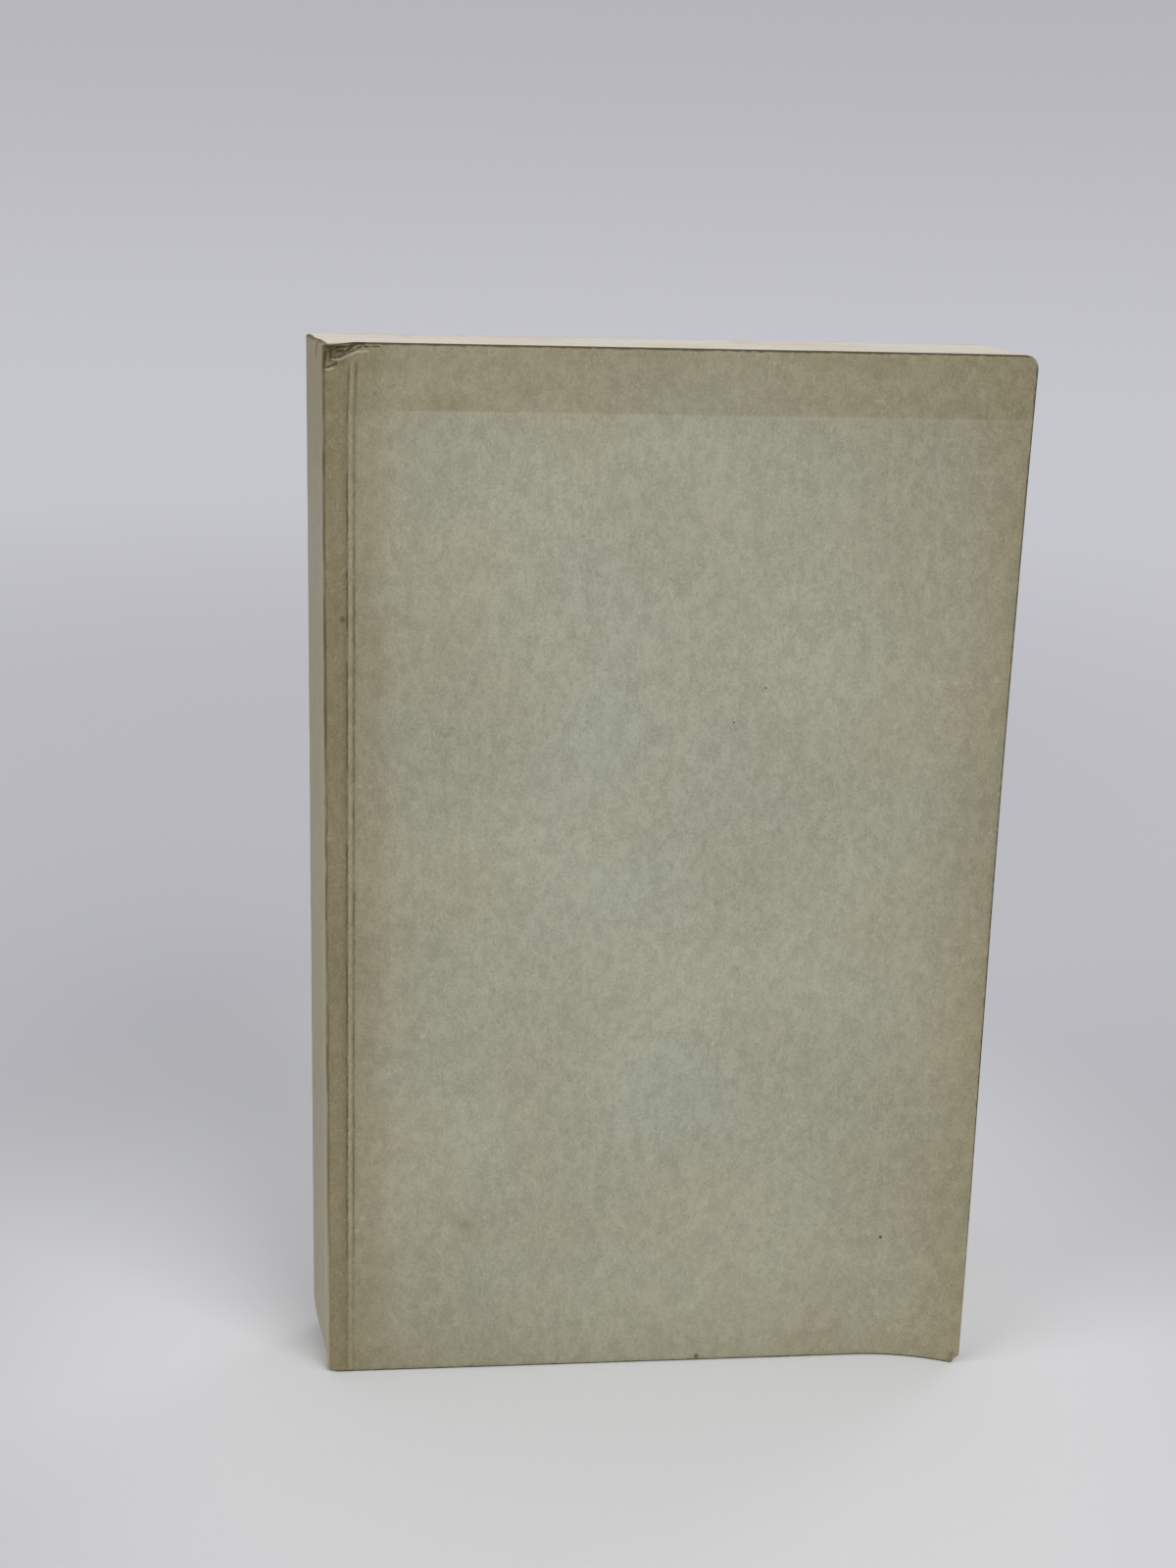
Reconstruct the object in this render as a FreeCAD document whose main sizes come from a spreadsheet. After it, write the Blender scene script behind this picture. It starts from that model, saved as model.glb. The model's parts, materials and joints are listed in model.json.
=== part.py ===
import FreeCAD, Part
import math
import os
import Sketcher

# An old paperback in a plain felt-paper wrapper, standing on its tail with the front cover towards -Y.
# Plan coordinates start at the front fold of the spine: X runs to the fore-edge, Y runs to the back cover.
# Each finished piece is then moved so that the origin is the middle of the pages' tail face.

doc = FreeCAD.newDocument("paperback")
sheet = doc.addObject("Spreadsheet::Sheet", "Sizes")

driving_sizes = {
    # overall size of the closed book
    "book_height": 190.0,
    "cover_width": 120.4,
    "spine_thickness": 19.0,
    "fore_thickness": 21.4,
    # the spine has gone cocked: its back fold lies further out than its front fold
    "spine_lean": 2.9,
    "spine_bulge": 0.5,
    # the wrapper's felt paper and the width of its folded margins
    "paper_thickness": 0.4,
    "turn_in": 12.0,
    "fold_radius": 0.3,
    # pages inside the wrapper
    "page_clearance": 0.1,
    "head_margin": 0.2,
    "fore_margin": 0.8,
    # strip of each cover that is glued to the pages, and the two scored creases beside it
    "glued_strip": 3.9,
    "hinge_gap": 0.2,
    "crease_spacing": 1.3,
    "crease_radius": 0.3,
    "crease_depth": 0.12,
    # outward curl of the covers' fore-edges
    "curl_reach": 8.0,
    "front_curl_tail": 4.6,
    "front_curl_middle": 0.4,
    "front_curl_head": 1.0,
    "back_curl": 0.3,
    # worn corners
    "head_corner_radius": 2.3,
    "front_tip_width": 1.5,
    "front_tip_height": 1.9,
    "back_tip_width": 0.8,
    "back_tip_height": 0.8,
    # torn patch at the head of the front joint, where the outer sheet is lost
    "tear_start": 0.9,
    "tear_low": 3.4,
    "tear_rise": 2.2,
}

for row, (alias, value) in enumerate(driving_sizes.items(), start=1):
    sheet.set(f"A{row}", alias.replace("_", " "))
    sheet.set(f"B{row}", str(value))
    sheet.setAlias(f"B{row}", alias)
doc.recompute()


class Size:
    """A length that holds its value in millimetres and the spreadsheet formula that it follows."""

    def __init__(self, value, formula):
        self.value = value
        self.formula = formula

    def join(self, other, sign, value):
        return Size(value, f"({self.formula} {sign} {as_size(other).formula})")

    def __add__(self, other):
        return self.join(other, "+", self.value + as_size(other).value)

    def __sub__(self, other):
        return self.join(other, "-", self.value - as_size(other).value)

    def __mul__(self, other):
        return self.join(other, "*", self.value * as_size(other).value)

    def __truediv__(self, other):
        return self.join(other, "/", self.value / as_size(other).value)

    def __neg__(self):
        return as_size(0) - self


def as_size(number):
    if isinstance(number, Size):
        return number
    return Size(float(number), str(number))


def size(alias):
    return Size(float(sheet.get(alias)), f"Sizes.{alias}")


zero = as_size(0)
height = size("book_height")
width = size("cover_width")
spine = size("spine_thickness")
fore = size("fore_thickness")
lean = size("spine_lean")
paper = size("paper_thickness")
turn_in = size("turn_in")
strip = size("glued_strip")

# two sheets lie over each other along the wrapper's margins, so the pages start behind two
margin = paper * 2
page_depth = margin + size("page_clearance")

# the rounded outside of a folded edge, as shares of the doubled paper: arc radius and how far it swells
fold_share = 0.55
fold_swell = fold_share - math.sqrt(fold_share**2 - 0.5**2)

# the back cover opens away from the front one at this slope
back_slope = (fore - spine) / width

# shift that brings the middle of the tail face to the origin
middle_x = (width - lean) / 2
middle_y = (spine + fore) / 4


# Drawing helpers

def point(corner):
    return FreeCAD.Vector(corner[0].value, corner[1].value, 0)


def arc_between(start, end, radius):
    """The short arc from start to end that turns left, with the given radius."""
    chord = end - start
    half_chord = chord.Length / 2
    swell = radius - math.sqrt(radius**2 - half_chord**2)
    outward = FreeCAD.Vector(chord.y, -chord.x, 0).normalize()
    return Part.Arc(start, start + chord * 0.5 + outward * swell, end)


def bind_constraint(sketch, constraint, length):
    index = sketch.addConstraint(constraint)
    sketch.setExpression(f"Constraints[{index}]", length.formula)


def draw_outline(sketch, corners, radii):
    """Closes an outline through the corners.

    A side that radii lists is an arc: it turns left for a positive radius and right for a negative one.
    """
    ends = []
    for side, corner in enumerate(corners):
        start = point(corner)
        end = point(corners[(side + 1) % len(corners)])
        radius = radii.get(side)
        if radius is None:
            sketch.addGeometry(Part.LineSegment(start, end), False)
            ends.append((1, 2))
        elif radius.value > 0:
            sketch.addGeometry(arc_between(start, end, radius.value), False)
            ends.append((1, 2))
        else:
            sketch.addGeometry(arc_between(end, start, -radius.value), False)
            ends.append((2, 1))
    for side, (across, along) in enumerate(corners):
        first = ends[side][0]
        last_before = ends[side - 1][1]
        side_before = (side - 1) % len(corners)
        sketch.addConstraint(Sketcher.Constraint("Coincident", side_before, last_before, side, first))
        bind_constraint(sketch, Sketcher.Constraint("DistanceX", -1, 1, side, first, across.value), across)
        bind_constraint(sketch, Sketcher.Constraint("DistanceY", -1, 1, side, first, along.value), along)
    for side, radius in radii.items():
        length = radius if radius.value > 0 else -radius
        bind_constraint(sketch, Sketcher.Constraint("Radius", side, length.value), length)


def body_sketch(body, name, plane_role, base_height, corners, radii):
    """A sketch on one of the body's own planes, lifted to base_height."""
    sketch = body.newObject("Sketcher::SketchObject", name)
    plane = [feature for feature in body.Origin.OriginFeatures if feature.Role == plane_role][0]
    sketch.AttachmentSupport = (plane, [""])
    sketch.MapMode = "FlatFace"
    sketch.setExpression("AttachmentOffset.Base.z", base_height.formula)
    draw_outline(sketch, corners, radii)
    return sketch


def pad(body, name, profile, length):
    feature = body.newObject("PartDesign::Pad", name)
    feature.Profile = profile
    feature.setExpression("Length", length.formula)
    doc.recompute()
    return feature


def place(piece, label, base_x, base_y):
    """Names a finished piece and moves it from plan coordinates to the book's own origin."""
    piece.Label = label
    piece.setExpression("Placement.Base.x", (base_x - middle_x).formula)
    piece.setExpression("Placement.Base.y", (base_y - middle_y).formula)


# Plan of the spine: one U-shaped line for each depth below the wrapper's outer face

def spine_corners(depth):
    """Ends of the joint strip, fold, fold, end of the other strip, all at one depth in the wrapper."""
    strip_end = strip - size("hinge_gap") / 2
    back_face = spine - depth
    return [
        (strip_end, depth),
        (depth, depth),
        (depth - lean, back_face),
        (strip_end - lean, back_face + strip_end * back_slope),
    ]


def spine_arc(depth):
    """Radius of the gently swelled spine between its two folds at one depth."""
    rise = spine - depth * 2
    chord_squared = lean * lean + rise * rise
    bulge = size("spine_bulge")
    return chord_squared / (bulge * 8) + bulge / 2


def shell_outline(outer_depth, inner_depth):
    """Corners and arcs of the U-shaped layer between two depths."""
    outer = spine_corners(outer_depth)
    inner = spine_corners(inner_depth)
    corners = outer + inner[::-1]
    return corners, {1: -spine_arc(outer_depth), 5: spine_arc(inner_depth)}


# Pages

def make_text_block():
    """All the leaves as one solid: a leaning block with a swelled back, thicker at the fore-edge."""
    fore_x = width - size("fore_margin")
    corners = [
        (page_depth, page_depth),
        (fore_x, page_depth),
        (fore_x - lean, spine + fore_x * back_slope - page_depth),
        (page_depth - lean, spine - page_depth),
    ]
    body = doc.addObject("PartDesign::Body", "TextBlock")
    plan = body_sketch(body, "PagePlan", "XY_Plane", zero, corners, {3: spine_arc(page_depth)})
    pad(body, "Pages", plan, height - size("head_margin"))
    place(body, "text_block", zero, zero)
    return body


def make_spine_glue():
    """Glue between the pages' back and the wrapper, from one turned-in margin to the other."""
    corners, radii = shell_outline(paper, page_depth)
    body = doc.addObject("PartDesign::Body", "SpineGlue")
    plan = body_sketch(body, "GluePlan", "XY_Plane", turn_in, corners, radii)
    pad(body, "Glue", plan, height - turn_in * 2)
    place(body, "spine_glue", zero, zero)
    return body


# Wrapper

def vertical_edges_at(shape, places):
    """Names of the upright edges that stand on the given plan positions."""
    names = []
    for number, edge in enumerate(shape.Edges, start=1):
        low, high = edge.Vertexes[0].Point, edge.Vertexes[-1].Point
        upright = abs(low.x - high.x) + abs(low.y - high.y) < 1e-6
        for spot in places:
            near = abs(low.x - spot.x) + abs(low.y - spot.y) < 1e-3
            if upright and near:
                names.append(f"Edge{number}")
    return names


def make_cover_spine():
    """Spine wall of the wrapper with its two glued joint strips and the turned-in head and tail."""
    body = doc.addObject("PartDesign::Body", "CoverSpine")
    corners, radii = shell_outline(zero, paper)
    wall_plan = body_sketch(body, "WallPlan", "XY_Plane", zero, corners, radii)
    wall = pad(body, "Wall", wall_plan, height)

    fold_spots = [point(corner) for corner in spine_corners(zero)[1:3]]
    fold_rounds = body.newObject("PartDesign::Fillet", "FoldRounds")
    fold_rounds.Base = (wall, vertical_edges_at(wall.Shape, fold_spots))
    fold_rounds.setExpression("Radius", size("fold_radius").formula)
    doc.recompute()

    corners, radii = shell_outline(paper, margin)
    for name, base_height in (("Tail", zero), ("Head", height - turn_in)):
        plan = body_sketch(body, f"{name}TurnInPlan", "XY_Plane", base_height, corners, radii)
        pad(body, f"{name}TurnIn", plan, turn_in)

    tear_cut(body)
    place(body, "cover_spine", zero, zero)
    return body


def tear_cut(body):
    """Takes the outer sheet away in a sloping patch at the head of the front joint."""
    start = size("tear_start")
    end = strip - size("hinge_gap") / 2
    low = height - size("tear_low")
    rise = size("tear_rise")
    corners = [(start, low), (end, low + rise), (end, low + rise + paper), (start, low + rise / 2)]
    sketch = body_sketch(body, "TearOutline", "XZ_Plane", zero, corners, {})
    whole = body.Tip.Shape.Volume
    pocket = body.newObject("PartDesign::Pocket", "Tear")
    pocket.Profile = sketch
    pocket.setExpression("Length", paper.formula)
    doc.recompute()
    if not pocket.Shape.Volume < whole:
        raise RuntimeError("the tear removes nothing")


def curled_section(depth, end_depth, curl, outward):
    """Plan of a cover between two depths, from its hinge to its fore-edge, curled outwards by curl.

    The curl is an arc that starts tangent to the flat sheet. Its run shortens as it rises, because
    the paper keeps its length.
    """
    start = strip + size("hinge_gap") / 2
    flat_end = width - turn_in - size("curl_reach") - margin * fold_swell
    length = turn_in + size("curl_reach")
    run = length - curl * curl * 2 / (length * 3)
    radius = (run * run + curl * curl) / (curl * 2)
    near, far = radius + depth, radius + end_depth
    outer_end = (flat_end + run * near / radius, near * (radius - curl) / radius - radius)
    inner_end = (flat_end + run * far / radius, far * (radius - curl) / radius - radius)
    corners = [
        (start, depth),
        (flat_end, depth),
        outer_end,
        inner_end,
        (flat_end, end_depth),
        (start, end_depth),
    ]
    radii = {1: -near, 2: (end_depth - depth) * fold_share, 3: far}
    if outward > 0:
        corners = [(across, -along) for across, along in corners]
        radii = {side: -radius for side, radius in radii.items()}
    return corners, radii


def curled_layer(prefix, depth, end_depth, curls, outward):
    """A sheet of the cover lofted through its tail, middle and head sections."""
    stations = (zero, height / 2, height)
    sections = []
    for number, (station, curl) in enumerate(zip(stations, curls), start=1):
        sketch = doc.addObject("Sketcher::SketchObject", f"{prefix}Section{number}")
        sketch.setExpression("Placement.Base.z", station.formula)
        draw_outline(sketch, *curled_section(depth, end_depth, curl, outward))
        sections.append(sketch)
    loft = doc.addObject("Part::Loft", prefix)
    loft.Sections = sections
    loft.Solid = True
    return loft


def face_prism(prefix, corners, radii, depth):
    """A prism through the cover's thickness, drawn on the cover's face (X along, Z up)."""
    sketch = doc.addObject("Sketcher::SketchObject", f"{prefix}Outline")
    sketch.Placement = FreeCAD.Placement(FreeCAD.Vector(), FreeCAD.Rotation(FreeCAD.Vector(1, 0, 0), 90))
    draw_outline(sketch, corners, radii)
    prism = doc.addObject("Part::Extrusion", prefix)
    prism.Base = sketch
    prism.DirMode = "Custom"
    prism.Dir = FreeCAD.Vector(0, 1, 0)
    prism.Solid = True
    prism.Symmetric = True
    prism.setExpression("LengthFwd", depth.formula)
    return prism


def crease_groove(prefix, outward):
    """The second scored line, a shallow round groove beside the hinge."""
    radius = size("crease_radius")
    groove = doc.addObject("Part::Cylinder", f"{prefix}Crease")
    groove.setExpression("Radius", radius.formula)
    groove.setExpression("Height", height.formula)
    groove.setExpression("Placement.Base.x", (strip + size("crease_spacing")).formula)
    offset = (radius - size("crease_depth")) * outward
    groove.setExpression("Placement.Base.y", offset.formula)
    return groove


def combine(kind, name, base, tool):
    result = doc.addObject(kind, name)
    result.Base = base
    result.Tool = tool
    return result


def make_cover(prefix, curls, tip_width, tip_height, outward):
    """One cover of the wrapper: a single sheet whose head, tail and fore-edge are folded inwards.

    The doubled sheet is lofted first, and the middle of its inner layer is then taken away.
    """
    doubled = curled_layer(f"{prefix}Doubled", zero, margin, curls, outward)
    inner_layer = curled_layer(f"{prefix}InnerLayer", paper, margin, curls, outward)
    start = strip + size("hinge_gap") / 2
    fold_line = width - turn_in
    window_corners = [
        (start - 1, turn_in),
        (fold_line, turn_in),
        (fold_line, height - turn_in),
        (start - 1, height - turn_in),
    ]
    reach = (margin + curls[0]) * 4
    window = face_prism(f"{prefix}Window", window_corners, {}, reach)
    recess = combine("Part::Common", f"{prefix}Recess", inner_layer, window)
    folded = combine("Part::Cut", f"{prefix}Folded", doubled, recess)

    corner = size("head_corner_radius")
    edge = width + margin
    outline_corners = [
        (start, zero),
        (edge - margin - tip_width, zero),
        (edge, tip_height),
        (edge, height - corner),
        (edge - corner, height),
        (start, height),
    ]
    trim = face_prism(f"{prefix}Trim", outline_corners, {3: corner}, reach)
    trimmed = combine("Part::Common", f"{prefix}Trimmed", folded, trim)
    return combine("Part::Cut", f"{prefix}Cover", trimmed, crease_groove(prefix, outward))


text_block = make_text_block()
spine_glue = make_spine_glue()
cover_spine = make_cover_spine()

front_curls = [size("front_curl_tail"), size("front_curl_middle"), size("front_curl_head")]
front_cover = make_cover("Front", front_curls, size("front_tip_width"), size("front_tip_height"), -1)
place(front_cover, "front_cover", zero, zero)

back_curls = [size("back_curl")] * 3
back_cover = make_cover("Back", back_curls, size("back_tip_width"), size("back_tip_height"), 1)
place(back_cover, "back_cover", zero - lean, spine)
back_cover.setExpression("Placement.Rotation.Angle", f"atan({back_slope.formula})")
doc.recompute()

for thing in doc.Objects:
    if "Invalid" in thing.State or "Error" in thing.State:
        raise RuntimeError(f"{thing.Label} did not build: {thing.State}")

os.makedirs("parts", exist_ok=True)
for piece in (text_block, spine_glue, cover_spine, front_cover, back_cover):
    shape = piece.Shape
    if shape.isNull() or not shape.isValid():
        raise RuntimeError(f"{piece.Label} has no valid shape")
    print(piece.Label, len(shape.Solids), round(shape.Volume, 2), shape.BoundBox)
    shape.exportStep(f"parts/{piece.Label}.step")
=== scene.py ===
import json
import math
import random

import bpy
from mathutils import Matrix, Vector, noise


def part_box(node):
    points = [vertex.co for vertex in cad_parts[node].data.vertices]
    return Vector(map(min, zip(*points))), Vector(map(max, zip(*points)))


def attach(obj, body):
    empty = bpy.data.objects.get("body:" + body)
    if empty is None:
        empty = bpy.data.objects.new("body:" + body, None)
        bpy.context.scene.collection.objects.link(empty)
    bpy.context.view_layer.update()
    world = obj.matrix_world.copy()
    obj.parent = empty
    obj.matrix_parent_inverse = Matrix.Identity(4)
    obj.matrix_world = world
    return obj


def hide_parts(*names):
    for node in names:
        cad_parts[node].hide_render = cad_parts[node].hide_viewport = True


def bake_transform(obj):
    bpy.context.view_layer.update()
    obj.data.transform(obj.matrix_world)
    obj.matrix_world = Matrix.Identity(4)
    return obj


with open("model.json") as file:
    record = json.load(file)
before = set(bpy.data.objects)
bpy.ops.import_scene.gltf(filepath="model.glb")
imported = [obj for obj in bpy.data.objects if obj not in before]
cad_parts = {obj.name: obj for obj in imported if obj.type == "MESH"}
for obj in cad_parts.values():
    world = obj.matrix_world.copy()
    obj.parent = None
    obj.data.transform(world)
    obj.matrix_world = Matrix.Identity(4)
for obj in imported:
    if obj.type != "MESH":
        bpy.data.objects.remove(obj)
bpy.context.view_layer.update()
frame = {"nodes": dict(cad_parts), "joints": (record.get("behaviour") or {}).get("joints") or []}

# Pages
# The leaves of an old book are folded in gatherings and sewn through their backs. Each gathering is a
# slab of cream paper with a rounded back, a little higher or lower than its neighbours, and the slabs
# fan out towards the fore-edge. Two loose leaves at the front have taken some of the cover's curl.

MM = 0.001
front_hinge = Vector(frame["joints"][0]["pos_m"])
back_hinge = Vector(frame["joints"][1]["pos_m"])
pages_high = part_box("text_block")[1]

glued_strip = 3.9 * MM
spine_lean = 2.9 * MM
spine_swell = 0.5 * MM
spine_thickness = 19.0 * MM
fore_thickness = 21.4 * MM
cover_width = 120.4 * MM
page_inset = 0.9 * MM
fold_x = front_hinge.x - glued_strip
front_face_y = front_hinge.y
book_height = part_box("front_cover")[1].z
opening_slope = (fore_thickness - spine_thickness) / cover_width

curl_start = 100.1 * MM
curl_length = 20.0 * MM


def select_only(piece):
    """Makes one object the only selected and active one."""
    bpy.ops.object.select_all(action="DESELECT")
    piece.select_set(True)
    bpy.context.view_layer.objects.active = piece


def edit_edges(piece, chosen):
    """Opens edit mode with only the edges selected for which chosen(first point, second point) holds."""
    select_only(piece)
    bpy.context.tool_settings.mesh_select_mode = (False, True, False)
    for element in (*piece.data.vertices, *piece.data.polygons):
        element.select = False
    for edge in piece.data.edges:
        first, second = (piece.data.vertices[index].co for index in edge.vertices)
        edge.select = chosen(first, second)
    bpy.ops.object.mode_set(mode="EDIT")


def swell(share):
    """Outward swell of the book's back at a share of its thickness."""
    return spine_swell * (1 - (2 * share - 1) ** 2)


def page_point(across, share, height):
    """A point in the pages: across from the back to the fore-edge, share from front to back cover."""
    start_x = fold_x + page_inset
    x = start_x + (pages_high.x - start_x) * across
    local_thickness = spine_thickness + opening_slope * (x - fold_x) - 2 * page_inset
    y = front_face_y + page_inset + local_thickness * share
    return Vector((x - spine_lean * share - swell(share) * (1 - across), y, height))


def curl_rise(height):
    """How far the front cover's fore-edge stands out at a height: most at the tail, a little at the head."""
    up = height / book_height
    return (4.6 - 13.2 * up + 9.6 * up * up) * MM


def smooth(value):
    """A smooth step from 0 at 0 to 1 at 1."""
    value = min(1.0, max(0.0, value))
    return value * value * (3 - 2 * value)


def tail_bump(share, up):
    """How far the tail's rear corner has been knocked up."""
    return 1.5 * MM * smooth((share - 0.72) / 0.28) * smooth(1 - up / (5 * MM))


def spine_dents(share, up):
    """How far the wall is pushed in at a place: at the tail's bump, and where the head's front leans in."""
    from_head = (book_height - up) / MM
    from_tail = up / MM
    bumped_tail = 0.4 * max(0.0, 5.5 - max(from_tail, 1.6)) * smooth(share / 0.4)
    leaning_head = 0.55 * smooth(share * 12) * smooth(1 - share / 0.6) * smooth(1 - from_head / 6)
    pinch = 0.25 * math.exp(-(((share - 0.31) / 0.06) ** 2)) * smooth(1 - from_head / 3.5)
    ripple = 0.07 * noise.noise(Vector((share * 7, up / (6 * MM), 60.0)))
    return (bumped_tail + leaning_head + pinch + ripple) * MM


def score(piece, place, direction, cut_beyond=False):
    """Adds a line of edges across a piece, or cuts off what lies beyond it."""
    select_only(piece)
    bpy.ops.object.mode_set(mode="EDIT")
    bpy.ops.mesh.select_all(action="SELECT")
    bpy.ops.mesh.bisect(plane_co=place, plane_no=direction, clear_outer=cut_beyond)
    bpy.ops.object.mode_set(mode="OBJECT")


def make_gathering(near, far, draw):
    """One folded gathering: a cube with its corners set, its back rounded and its cut edges softened."""
    top = pages_high.z + (0.14 * near - draw.uniform(0, 0.05)) * MM
    fore = 1 - draw.uniform(0, 0.0022)
    bpy.ops.object.select_all(action="DESELECT")
    bpy.ops.mesh.primitive_cube_add(size=2)
    slab = bpy.context.object
    for vertex in slab.data.vertices:
        across = fore if vertex.co.x > 0 else 0
        share = far if vertex.co.y > 0 else near
        vertex.co = page_point(across, share, top if vertex.co.z > 0 else 0)
    back_limit = fold_x + 2 * page_inset
    score(slab, (fold_x + bumped_length, 0, 0), (1, 0, 0))
    for vertex in slab.data.vertices:
        if vertex.co.z < MM and vertex.co.x < back_limit:
            vertex.co += Vector((spine_dents(far, 0), 0, tail_bump(far, 0)))

    def back_edge(first, second):
        return abs(first.z - second.z) > book_height / 2 and first.x < back_limit

    edit_edges(slab, back_edge)
    bpy.ops.mesh.bevel(offset=back_rounding, segments=4, affect="EDGES")
    bpy.ops.object.mode_set(mode="OBJECT")

    def cut_edge(first, second):
        return first.x > back_limit and second.x > back_limit or first.z > top - MM and second.z > top - MM

    edit_edges(slab, cut_edge)
    bpy.ops.mesh.bevel(offset=edge_softening, segments=1, affect="EDGES")
    bpy.ops.mesh.select_all(action="SELECT")
    bpy.ops.mesh.normals_make_consistent(inside=False)
    bpy.ops.object.mode_set(mode="OBJECT")
    return slab


def make_loose_leaf(share, follow):
    """A single leaf that lifts towards the fore-edge with a share of the cover's curl."""
    leaf_thickness = 0.11 * MM
    bpy.ops.object.select_all(action="DESELECT")
    bpy.ops.mesh.primitive_grid_add(x_subdivisions=60, y_subdivisions=40, size=2)
    leaf = bpy.context.object
    for vertex in leaf.data.vertices:
        height = (vertex.co.y + 1) / 2 * (pages_high.z - 0.05 * MM)
        place = page_point((vertex.co.x + 1) / 2, share, height)
        past = max(0.0, place.x - fold_x - curl_start)
        place.y -= follow * curl_rise(height) * (past / curl_length) ** 2
        vertex.co = place
    select_only(leaf)
    solid = leaf.modifiers.new("Thickness", "SOLIDIFY")
    solid.thickness = leaf_thickness
    solid.offset = 1
    bpy.ops.object.modifier_apply(modifier=solid.name)
    return leaf


gathering_count = 18
page_draw = random.Random(19)
shares = [page_draw.uniform(0.8, 1.2) for number in range(gathering_count)]
starts = [sum(shares[:number]) / sum(shares) for number in range(gathering_count + 1)]
gathering_gap = 0.0003
back_rounding = 0.36 * MM
edge_softening = 0.04 * MM
bumped_length = 7.5 * MM
leaves = []
for start, end in zip(starts, starts[1:]):
    leaves.append(make_gathering(start + gathering_gap, end - gathering_gap, page_draw))
leaves.append(make_loose_leaf(-0.012, 0.62))
leaves.append(make_loose_leaf(-0.004, 0.30))
bpy.ops.object.select_all(action="DESELECT")
for leaf in leaves:
    leaf.select_set(True)
bpy.context.view_layer.objects.active = leaves[0]
bpy.ops.object.join()
pages = bpy.context.object
pages.name = "pages"


def paint(red, green, blue):
    """A colour given as it shows on screen, 0 to 255, turned into the linear values that shaders take."""
    linear = []
    for value in (red, green, blue):
        share = value / 255
        linear.append(share / 12.92 if share <= 0.04045 else ((share + 0.055) / 1.055) ** 2.4)
    return (*linear, 1.0)


def feed(socket, value):
    """Gives a socket a fixed value, or joins another node's output to it."""
    if isinstance(value, bpy.types.NodeSocket):
        socket.id_data.links.new(value, socket)
    else:
        socket.default_value = value


def add_node(kind, *values):
    """A new node of a kind, in the tree that holds the first output among the values."""
    outputs = [value for value in values if isinstance(value, bpy.types.NodeSocket)]
    return outputs[0].id_data.nodes.new("ShaderNode" + kind)


def calc(operation, *values):
    """A math node on numbers or outputs."""
    node = add_node("Math", *values)
    node.operation = operation
    for socket, value in zip(node.inputs, values):
        feed(socket, value)
    return node.outputs[0]


def plus(first, second):
    return calc("ADD", first, second)


def minus(first, second):
    return calc("SUBTRACT", first, second)


def times(first, second):
    return calc("MULTIPLY", first, second)


def larger(first, second):
    return calc("MAXIMUM", first, second)


def smaller(first, second):
    return calc("MINIMUM", first, second)


def rise(value, low, high, bottom=0.0, top=1.0):
    """A smooth step: bottom below low, top above high. It falls instead where low is above high."""
    node = add_node("MapRange", value)
    node.interpolation_type = "SMOOTHSTEP"
    if low > high:
        low, high, bottom, top = high, low, top, bottom
    for name, entry in (("From Min", low), ("From Max", high), ("To Min", bottom), ("To Max", top)):
        node.inputs[name].default_value = entry
    feed(node.inputs["Value"], value)
    return node.outputs[0]


def cloud(position, size, detail=2.0, seed=0.0, stretch=(1, 1, 1), roughness=0.5, twist=0.0):
    """Cloudy noise from 0 to 1 with features about size millimetres across, drawn out by stretch."""
    scaled = add_node("VectorMath", position)
    scaled.operation = "MULTIPLY_ADD"
    feed(scaled.inputs[0], position)
    scaled.inputs[1].default_value = [1 / (size * way) for way in stretch]
    scaled.inputs[2].default_value = (seed * 1.7, seed * 3.1, seed * 2.3)
    node = add_node("TexNoise", position)
    feed(node.inputs["Vector"], scaled.outputs[0])
    node.inputs["Scale"].default_value = 1.0
    node.inputs["Detail"].default_value = detail
    node.inputs["Roughness"].default_value = roughness
    node.inputs["Distortion"].default_value = twist
    return node.outputs["Fac"]


def wavering(position, size, detail, seed, reach):
    """Noise that strays to both sides of 0, over reach in all."""
    return calc("MULTIPLY_ADD", cloud(position, size, detail, seed), reach, -reach / 2)


def distance_of(side, over):
    """The length of the way that goes side one way and over the other."""
    return calc("SQRT", plus(times(side, side), times(over, over)))


def blend(base, over, amount, mode="MIX"):
    """Lays one colour over another by an amount from 0 to 1."""
    node = add_node("Mix", base, over, amount)
    node.data_type = "RGBA"
    node.blend_type = mode
    feed(node.inputs[0], amount)
    feed(node.inputs[6], base)
    feed(node.inputs[7], over)
    return node.outputs[2]


def stain(colour, shade, mask, strength):
    """Lays a shade over a colour where a mask says, at a strength from 0 to 1."""
    return blend(colour, paint(*shade), times(mask, strength))


def millimetres(tree):
    """The point on the surface in millimetres from the front fold: across, back and up."""
    place = tree.nodes.new("ShaderNodeTexCoord").outputs["Object"]
    node = tree.nodes.new("ShaderNodeMapping")
    node.vector_type = "POINT"
    node.inputs["Scale"].default_value = (1 / MM, 1 / MM, 1 / MM)
    node.inputs["Location"].default_value = (-fold_x / MM, -front_face_y / MM, 0)
    feed(node.inputs["Vector"], place)
    return node.outputs[0]


def split_axes(vector):
    node = add_node("SeparateXYZ", vector)
    feed(node.inputs[0], vector)
    return node.outputs[0], node.outputs[1], node.outputs[2]


def join_axes(x, y, z):
    node = add_node("CombineXYZ", x, y, z)
    for socket, value in zip(node.inputs, (x, y, z)):
        feed(socket, value)
    return node.outputs[0]


def new_material(name):
    """An empty material with its node tree and its Principled shader already joined to the output."""
    material = bpy.data.materials.new(name)
    material.use_nodes = True
    tree = material.node_tree
    shader = tree.nodes["Principled BSDF"]
    shader.inputs["Specular IOR Level"].default_value = 0.25
    return material, tree, shader


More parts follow.
